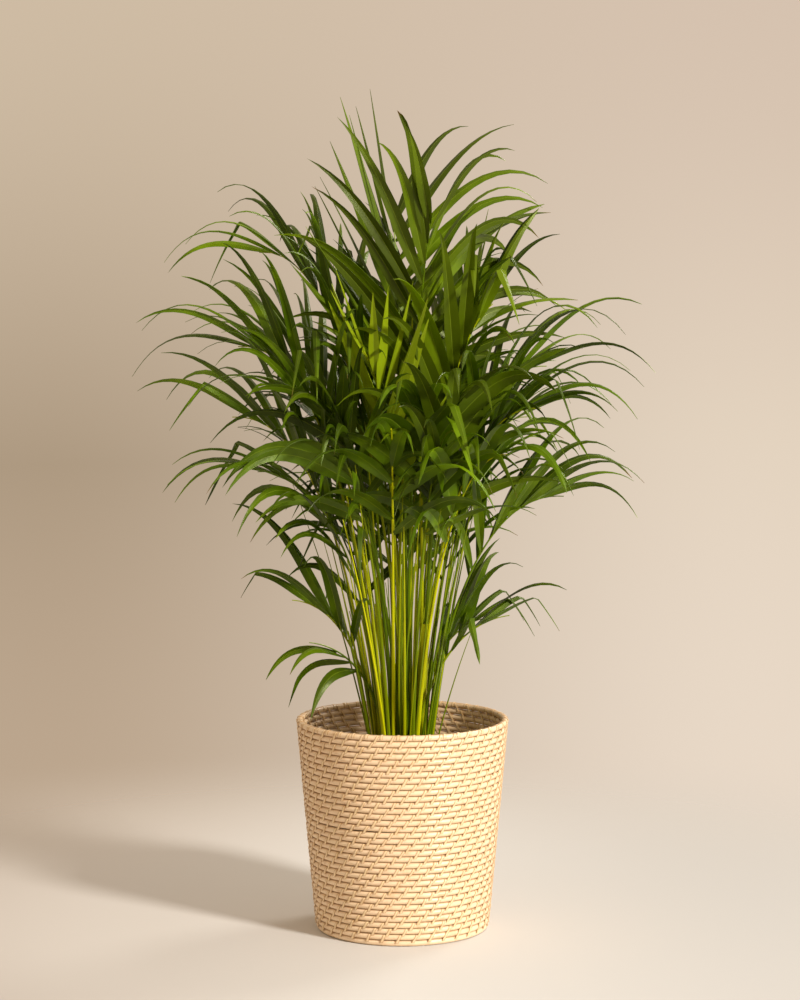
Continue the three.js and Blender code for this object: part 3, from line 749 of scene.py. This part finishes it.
def soil_crumbs():
    """Bark and peat crumbs scattered on the soil."""
    bpy.ops.object.select_all(action="DESELECT")
    bpy.ops.mesh.primitive_ico_sphere_add(subdivisions=1, radius=1.0)
    seed = bpy.context.object
    shape = np.array([v.co[:] for v in seed.data.vertices])
    shape_faces = [tuple(p.vertices) for p in seed.data.polygons]
    bpy.data.objects.remove(seed)
    scatter = random.Random(5)
    points, faces = [], []
    for _ in range(CRUMBS):
        radius = (soil_high.x - 0.006) * math.sqrt(scatter.random())
        angle = scatter.uniform(0, 2 * math.pi)
        size = scatter.uniform(0.0012, 0.0034)
        stretch = np.array([scatter.uniform(*span) for span in ((0.6, 1.5), (0.6, 1.2), (0.4, 0.8))]) * size
        turned = Matrix.Rotation(scatter.uniform(0, math.pi), 3, "Z")
        turn = turned @ Matrix.Rotation(scatter.uniform(-0.5, 0.5), 3, "X")
        z = SOIL_TOP - EDGE_DROP + HEAP * (1 - (radius / soil_high.x) ** 2)
        rough = np.array([scatter.uniform(0.75, 1.2) for _ in shape])[:, None]
        place = np.array((radius * math.cos(angle), radius * math.sin(angle), z))
        start = len(points)
        points += list((shape * rough * stretch) @ np.array(turn).T + place)
        faces += [tuple(start + j for j in face) for face in shape_faces]
    obj = mesh_object("soil_crumbs", points, faces)
    settle(obj, "soil_crumbs", SOIL)
    smooth(obj, 30)
    return obj


belongs(soil_crumbs(), "soil")


# ------------------------------------------------------------------ fronds

BLADE_STEPS = 14
BROADEST = 0.34  # the share of a leaflet's length where it stops growing broader
LEAFLET_STEPS = 28
SAG_PER_DROOP = 2.6
SAG_POWER = 1.5  # a leaflet bends more and more towards its tip
KINK_PULL = 1.4
BLUNT_FROM, BLUNT_LENGTH = 0.8, 0.2  # a torn tip is broad over its last stretch
STAGGER = 0.45  # how far the leaflets of the second side sit above the first's, in pitches
TILT = 20  # degrees that a leaflet is turned about its own length
KINKED, BLUNT, ALL_GREEN = 0.14, 0.06, 0.82  # shares of leaflets: kinked, torn, with no dry tip
YOUNG_CLOSED = 0.55  # how much closer a young frond's leaflets lie to its midrib


def blade_outline(s):
    """Half width of a leaflet at a share of its length, as a share of its full width."""
    swell = 1 - 0.80 * max(0.0, 1 - s / BROADEST) ** 1.7
    taper = max(0.0, 1 - s ** 1.6)
    return 0.5 * swell * taper * 1.12


def blade_template():
    """One leaflet, flat, 1 long along +Y and 1 wide, with its outline cut and 1 thick."""
    bpy.ops.object.select_all(action="DESELECT")
    bpy.ops.mesh.primitive_grid_add(
        x_subdivisions=4, y_subdivisions=BLADE_STEPS, size=1.0, location=(0, 0.5, 0))
    obj = bpy.context.object
    bpy.ops.object.transform_apply(location=True, rotation=True, scale=True)
    for vertex in obj.data.vertices:
        vertex.co.x *= 2 * blade_outline(vertex.co.y)
    bpy.ops.object.mode_set(mode="EDIT")
    bpy.ops.mesh.select_all(action="SELECT")
    bpy.ops.mesh.remove_doubles(threshold=1e-5)
    bpy.ops.object.mode_set(mode="OBJECT")
    modify(obj, "SOLIDIFY", thickness=1.0, offset=0.0)
    mesh = obj.data
    points = np.array([v.co[:] for v in mesh.vertices])
    faces = [tuple(p.vertices) for p in mesh.polygons]
    corners = np.zeros(len(mesh.loops) * 2)
    mesh.uv_layers.active.data.foreach_get("uv", corners)
    bpy.data.objects.remove(obj)
    return points, faces, corners.reshape(-1, 2)


BLADE_POINTS, BLADE_FACES, BLADE_UV = blade_template()


class MiddleLine:
    """A frond's middle line: up from its shoot, then arching out to its tip."""

    # The curve's two handles: their shares of the rise and of the way out. The second one stands
    # higher on fronds that reach further out.
    FIRST_RISE, FIRST_OUT = 0.5, 0.12
    SECOND_RISE, SECOND_OUT = 0.72, 0.42
    SECOND_LIFT, FAR_REACH = 0.30, 0.2

    def __init__(self, foot, azimuth, reach, tip_z):
        tip = np.array((reach * math.cos(azimuth), reach * math.sin(azimuth), tip_z))
        rise = np.array((0, 0, tip_z - foot[2]))
        out = np.array((tip[0] - foot[0], tip[1] - foot[1], 0))
        first = foot + self.FIRST_RISE * rise + self.FIRST_OUT * out
        crown = self.SECOND_RISE + self.SECOND_LIFT * min(1.0, reach / self.FAR_REACH)
        second = foot + crown * rise + self.SECOND_OUT * out
        t = np.linspace(0, 1, 121)[:, None]
        u = 1 - t
        self.points = u ** 3 * foot + 3 * u ** 2 * t * first + 3 * u * t ** 2 * second + t ** 3 * tip
        steps = np.linalg.norm(np.diff(self.points, axis=0), axis=1)
        self.lengths = np.concatenate(([0], np.cumsum(steps)))
        self.length = self.lengths[-1]
        out = unit(out)
        self.side = np.array((-out[1], out[0], 0.0))

    def at(self, distance):
        return np.array([np.interp(distance, self.lengths, self.points[:, k]) for k in range(3)])

    def heading(self, distance):
        near = 0.004
        return unit(self.at(min(self.length, distance + near)) - self.at(max(0.0, distance - near)))


class Growth:
    """Points, faces, UV corners and tones of one frond as it grows."""

    def __init__(self):
        self.points, self.faces, self.uv, self.tones, self.materials = [], [], [], [], []
        self.count = 0

    def add(self, points, faces, uv, tone, material):
        self.points.append(points)
        self.faces += [tuple(self.count + j for j in face) for face in faces]
        self.uv.append(uv)
        self.tones.append(np.tile(tone, (len(points), 1)))
        self.materials += [material] * len(faces)
        self.count += len(points)

    def finish(self, name, *materials):
        obj = mesh_object(name, np.concatenate(self.points), self.faces)
        mesh = obj.data
        layer = mesh.uv_layers.new(name="blade")
        layer.data.foreach_set("uv", np.concatenate(self.uv).ravel())
        give_tones(obj, np.concatenate(self.tones))
        settle(obj, name, *materials)
        mesh.polygons.foreach_set("material_index", self.materials)
        return obj


def grow_stem(growth, line, tone):
    """Petiole and midrib: a tapering tube, flat along its upper side."""
    sides, stations = 8, 44
    rings = []
    for i in range(stations):
        share = i / (stations - 1)
        distance = line.length * share
        heading = np.array((0, 0, 1.0)) if i == 0 else line.heading(distance)
        over = unit(np.cross(heading, line.side))
        radius = PETIOLE_RADIUS + (MIDRIB_TIP_RADIUS - PETIOLE_RADIUS) * share ** 1.1
        centre = line.at(distance)
        ring = []
        for k in range(sides):
            angle = 2 * math.pi * k / sides
            flat = 0.72 if math.sin(angle) > 0.9 else 1.0
            ring.append(centre + radius * (math.cos(angle) * line.side + flat * math.sin(angle) * over))
        rings.append(np.array(ring))
    uv = []
    for i in range(stations - 1):
        low, high = i / stations, (i + 1) / stations
        for k in range(sides):
            left, right = k / sides, (k + 1) / sides
            uv += [(low, left), (low, right), (high, right), (high, left)]
    uv += [(0, 0)] * (2 * sides)
    growth.add(np.concatenate(rings), tube_faces(stations, sides), np.array(uv), tone, 1)


def grow_leaflet(growth, root, heading, across, wish):
    """Bends a copy of the blade along a line that starts straight and sags under its own weight."""
    steps = LEAFLET_STEPS
    line, headings, sides = [root], [heading], [across]
    place, direction, side = root.copy(), heading.copy(), across.copy()
    for i in range(steps):
        s = (i + 0.5) / steps
        pull = wish["sag"] * (s ** SAG_POWER) * (SAG_POWER + 1) / steps
        if wish["kink"] and abs(s - wish["kink"]) < 0.5 / steps:
            pull += KINK_PULL
        direction = unit(direction + DOWN * pull * (1.05 - max(0.0, -direction[2]) ** 2))
        side = unit(side - side.dot(direction) * direction)
        turn = wish["twist"] / steps
        side = unit(side * math.cos(turn) + np.cross(direction, side) * math.sin(turn))
        place = place + direction * wish["length"] / steps
        line.append(place)
        headings.append(direction)
        sides.append(side)
    line, headings, sides = np.array(line), np.array(headings), np.array(sides)
    s = BLADE_POINTS[:, 1] * steps
    low = np.minimum(s.astype(int), steps - 1)
    part = (s - low)[:, None]
    middle = line[low] * (1 - part) + line[low + 1] * part
    side = sides[low] * (1 - part) + sides[low + 1] * part
    forward = headings[low] * (1 - part) + headings[low + 1] * part
    over = np.cross(forward, side)
    over *= wish["upper"] / np.linalg.norm(over, axis=1)[:, None]
    x = BLADE_POINTS[:, 0:1] * wish["width"]
    if wish["blunt"]:
        along = BLADE_POINTS[:, 1:2]
        broader = 1.0 + 1.6 * (along - BLUNT_FROM) / BLUNT_LENGTH * (along < 0.999)
        x = x * 1.25 * np.where(along > BLUNT_FROM, broader, 1.0)
    fold = -np.abs(x) * wish["fold"]
    z = BLADE_POINTS[:, 2:3] * LEAFLET_THICKNESS
    points = middle + side * x + over * (fold + z)
    faces = BLADE_FACES if wish["upper"] > 0 else [tuple(reversed(face)) for face in BLADE_FACES]
    uv = BLADE_UV if wish["upper"] > 0 else FLIPPED_UV
    growth.add(points, faces, uv[:, ::-1], wish["tone"], 0)


def flipped_uv():
    """The blade's UV corners for faces that run the other way round."""
    out, at = [], 0
    for face in BLADE_FACES:
        out.append(BLADE_UV[at:at + len(face)][::-1])
        at += len(face)
    return np.concatenate(out)


FLIPPED_UV = flipped_uv()


def grow_frond(number, foot, wish):
    name = f"frond_{number:02d}_leaf"
    young, broad = YOUNG.get(number, 0.0), BROAD.get(number, 1.0)
    azimuth, reach, height, blade, leaflet_length, droop = wish
    line = MiddleLine(foot, math.radians(azimuth), reach, SOIL_TOP + height)
    growth = Growth()
    frond_tone = chance.random()
    grow_stem(growth, line, (frond_tone, young, 0.0))
    pitch = LEAFLET_PITCH * SPARSE.get(number, 1.0)
    pairs = int(blade / pitch)
    start = line.length - blade
    raised = HANGING.get(number, RAISED)
    usual = (0, HEAVY.get(number, HANGING_SAG if number in HANGING else 1.0))
    uneven = UNEVEN.get(number, (usual, usual))
    for i in range(pairs):
        share = i / (pairs - 1)
        swell = math.sin(math.pi * (0.22 + 0.66 * share))
        for side in (1, -1):
            offset = (0.0 if side == 1 else STAGGER) * pitch
            place = start + i * pitch + offset + chance.uniform(-0.003, 0.003)
            distance = min(line.length - 0.002, place)
            along = line.heading(distance)
            over = unit(np.cross(along, line.side))
            spread, slack = uneven[0 if side == 1 else 1]
            splay = MOST_SPLAY + (LEAST_SPLAY - MOST_SPLAY) * share + spread + chance.uniform(-7, 7)
            splay = math.radians(splay) * (1 - YOUNG_CLOSED * young)
            lift = math.radians(raised + chance.uniform(-12, 14))
            outward = side * math.cos(lift) * line.side + math.sin(lift) * over
            heading = unit(math.cos(splay) * along + math.sin(splay) * outward)
            across = unit(along - along.dot(heading) * heading)
            tilt = side * math.radians(TILT + chance.uniform(-22, 22))
            across = unit(across * math.cos(tilt) + np.cross(heading, across) * math.sin(tilt))
            root = line.at(distance) + outward * PETIOLE_RADIUS * 0.35
            brown = 0.0 if chance.random() < ALL_GREEN else chance.uniform(0.4, 1.4)
            wish_leaf = {
                "length": leaflet_length * (0.5 + 0.5 * swell) * chance.uniform(0.9, 1.09),
                "width": LEAFLET_WIDTH * broad * (0.55 + 0.45 * swell) * chance.uniform(0.86, 1.14),
                "sag": droop * SAG_PER_DROOP * slack * chance.uniform(0.55, 1.45),
                "kink": chance.uniform(0.5, 0.75) if chance.random() < KINKED * (1 - young) else 0.0,
                "twist": chance.uniform(-0.7, 0.7),
                "fold": chance.uniform(0.15, 0.50),
                "upper": -side,
                "blunt": chance.random() < BLUNT,
                "tone": (0.35 * frond_tone + 0.65 * chance.random(), young, brown),
            }
            grow_leaflet(growth, root, heading, across, wish_leaf)
    frond = growth.finish(name, LEAF, MIDRIB)
    smooth(frond, 22)
    belongs(frond, "leaf", name.replace("_leaf", ""))
    return frond


def shoot_places():
    """For each shoot its foot, its top and its fronds; the shoots lean outwards, the outer ones most."""
    places = []
    for i, (height, fronds) in enumerate(SHOOTS):
        radius = PATTERN_SCALE * math.sqrt(i + 0.5)
        x, y = radius * math.cos(i * GOLDEN_ANGLE), radius * math.sin(i * GOLDEN_ANGLE)
        slope = SHOOT_LEAN * radius / (PATTERN_SCALE * math.sqrt(len(SHOOTS)))
        slope_x, slope_y = slope * x / radius, slope * y / radius
        top = np.array((x + slope_x * height, y + slope_y * height, SOIL_TOP + height))
        places.append((np.array((x, y, SOIL_TOP)), top, fronds))
    return places


def grow_shoot(name, foot, top, tone):
    """A cane in leaf sheaths, each standing a little out of the next, with soft ridges along it."""
    sides, stations = 20, 26
    luck = random.Random(name)
    turn = luck.uniform(0, 6.28)
    points = []
    bottom = foot - np.array((0, 0, ROOT_DEPTH))
    wraps, sheath = 3, 0.0005
    for i in range(stations):
        share = i / (stations - 1)
        centre = bottom + (top - bottom) * share
        step = sheath * (1 - (wraps * share) % 1.0) if share < 1 else 0.0
        radius = SHOOT_RADIUS + SHOOT_SWELL * (1 - share) ** 1.5 + step - sheath
        for k in range(sides):
            angle = 2 * math.pi * k / sides
            ridge = 0.0003 * math.cos(angle * 5 + turn) + 0.0004 * math.cos(angle * 3 + 2 * turn)
            points.append(centre + (radius + ridge) * np.array((math.cos(angle), math.sin(angle), 0)))
    obj = mesh_object(name, points, tube_faces(stations, sides))
    give_tones(obj, np.tile(tone, len(points)))
    settle(obj, name, SHEATH)
    smooth(obj, 45)
    belongs(obj, "leaf_sheath", name.replace("_sheaths", ""))
    return obj


FOOT_TURNS = (0, 120, -120)  # where a shoot's three petioles stand, in degrees from its first frond

frond_number = 0
for shoot_number, (foot, top, fronds) in enumerate(shoot_places(), 1):
    grow_shoot(f"shoot_{shoot_number:02d}_sheaths", foot, top, (chance.random(), 0.0, 0.0))
    for turn, wish in zip(FOOT_TURNS, fronds):
        frond_number += 1
        direction = math.radians(fronds[0][0] + turn)
        petiole_foot = top + np.array((math.cos(direction), math.sin(direction), 0)) * PETIOLE_OFFSET
        petiole_foot[2] += FIT
        grow_frond(frond_number, petiole_foot, wish)


SPEARS = 90
SPEARS_PER_ROUND = 18  # after so many the pattern starts again at the middle


def grow_spears():
    """Unopened leaves and bare petioles that stand between the shoots: thin tapering stalks."""
    luck = random.Random(21)
    growth = Growth()
    sides, stations = 7, 14
    for i in range(SPEARS):
        radius = PATTERN_SCALE * math.sqrt((i % SPEARS_PER_ROUND) * 0.55 + 0.7)
        angle = (i + 0.5) * GOLDEN_ANGLE
        x, y = radius * math.cos(angle), radius * math.sin(angle)
        height = luck.uniform(0.24, 0.52)
        lean = luck.uniform(0.08, 0.24) * radius / (PATTERN_SCALE * math.sqrt(len(SHOOTS)))
        sway = luck.uniform(-0.02, 0.02)
        thick = luck.uniform(0.0014, 0.0026)
        points = []
        for k in range(stations):
            share = k / (stations - 1)
            above = height * share
            out = lean * (above + 0.5 * above * share)
            centre = np.array((
                x + out * math.cos(angle) + sway * share ** 2 * math.sin(angle),
                y + out * math.sin(angle) - sway * share ** 2 * math.cos(angle),
                SOIL_TOP - SPEAR_DEPTH + above))
            ring_radius = thick * (1 - 0.72 * share ** 1.8)
            for n in range(sides):
                turn = 2 * math.pi * n / sides
                points.append(centre + ring_radius * np.array((math.cos(turn), math.sin(turn), 0)))
        faces = tube_faces(stations, sides)
        corners = sum(len(face) for face in faces)
        growth.add(np.array(points), faces, np.zeros((corners, 2)), (luck.random(), 0.0, 0.0), 0)
    spears = growth.finish("unopened_leaves", MIDRIB)
    smooth(spears, 60)
    belongs(spears, "leaf_sheath")


grow_spears()


# ------------------------------------------------------------------ floor, light, camera

def studio_floor():
    """A round floor that fades out into the backdrop, its colour painted lighter and darker from side to
    side.
    """
    bpy.ops.object.select_all(action="DESELECT")
    bpy.ops.mesh.primitive_circle_add(vertices=128, radius=2.4, fill_type="TRIFAN", location=(0, 0, -0.0002))
    floor = bpy.context.object
    material, tree, shader, output = new_material("studio floor")
    place = object_coordinates(tree)
    fade = ranged(tree, vector_node(tree, "LENGTH", place).outputs["Value"], 0.45, 1.5)
    # painted light and shade: the floor is palest in the middle, darker and warmer on the left, and darkest
    # on the right, where it holds back the key light's pool
    sideways = ranged(tree, separate(tree, place)[0], -0.7, 0.7)
    painted_floor_shading = ramp_node(tree, sideways, [
        (0.0, (0.61, 0.575, 0.54)), (0.5, (0.66, 0.65, 0.63)), (1.0, (0.50, 0.495, 0.485))])
    tree.links.new(painted_floor_shading, shader.inputs["Base Color"])
    set_inputs(shader, {"Roughness": 0.9, "Specular IOR Level": 0.1})
    clear = tree.nodes.new("ShaderNodeBsdfTransparent")
    both = tree.nodes.new("ShaderNodeMixShader")
    tree.links.new(fade, both.inputs[0])
    tree.links.new(shader.outputs[0], both.inputs[1])
    tree.links.new(clear.outputs[0], both.inputs[2])
    tree.links.new(both.outputs[0], output.inputs["Surface"])
    settle(floor, "studio_floor", material)


def studio_world():
    """A backdrop in two warm tones, left and right, each lighter or darker with height; the darker left one
    is a painted shadow of the plant on the wall.
    """
    world = bpy.data.worlds.new("studio")
    bpy.context.scene.world = world
    world.use_nodes = True
    tree = world.node_tree
    background = tree.nodes["Background"]
    direction = separate(tree, tree.nodes.new("ShaderNodeTexCoord").outputs["Generated"])
    sideways = ranged(tree, direction[0], -0.13, 0.13)
    upward = ranged(tree, direction[2], -0.20, 0.09)
    # painted shadow: the left tone is darker, most of all partway up, where the plant's shadow fell on the
    # wall
    left = ramp_node(tree, upward, [
        (0.0, (0.50, 0.38, 0.27)), (0.35, (0.42, 0.32, 0.22)), (1.0, (0.62, 0.50, 0.37))])
    right = ramp_node(tree, upward, [
        (0.0, (0.81, 0.69, 0.57)), (0.4, (0.77, 0.65, 0.52)), (1.0, (0.67, 0.54, 0.43))])
    colour = mix_node(tree, sideways, left, right)
    tree.links.new(colour, background.inputs["Color"])
    background.inputs["Strength"].default_value = 1.0


def area_light(name, place, target, size, energy, colour):
    data = bpy.data.lights.new(name, "AREA")
    data.shape = "DISK"
    data.size = size
    data.energy = energy
    data.color = colour
    light = bpy.data.objects.new(name, data)
    light.location = place
    light.rotation_euler = (Vector(target) - Vector(place)).to_track_quat("-Z", "Y").to_euler()
    bpy.context.scene.collection.objects.link(light)


def camera():
    data = bpy.data.cameras.new("camera")
    data.lens = 102.0
    data.sensor_width = 36.0
    view = bpy.data.objects.new("camera", data)
    view.location = (-0.0035, -4.2, 1.056)
    pitch = math.radians(5.58)
    view.rotation_euler = (math.pi / 2 - pitch, 0.0, 0.0)
    bpy.context.scene.collection.objects.link(view)
    bpy.context.scene.camera = view


studio_floor()
studio_world()
area_light(
    "key", place=(3.3, -3.1, 2.8), target=(0, 0, 0.55), size=0.8, energy=320, colour=(1.0, 0.96, 0.90))
area_light(
    "back_rim", place=(1.6, 1.6, 2.4), target=(0, 0, 0.8), size=1.0, energy=30, colour=(1.0, 0.96, 0.88))
camera()
bpy.context.scene.view_settings.view_transform = "Standard"
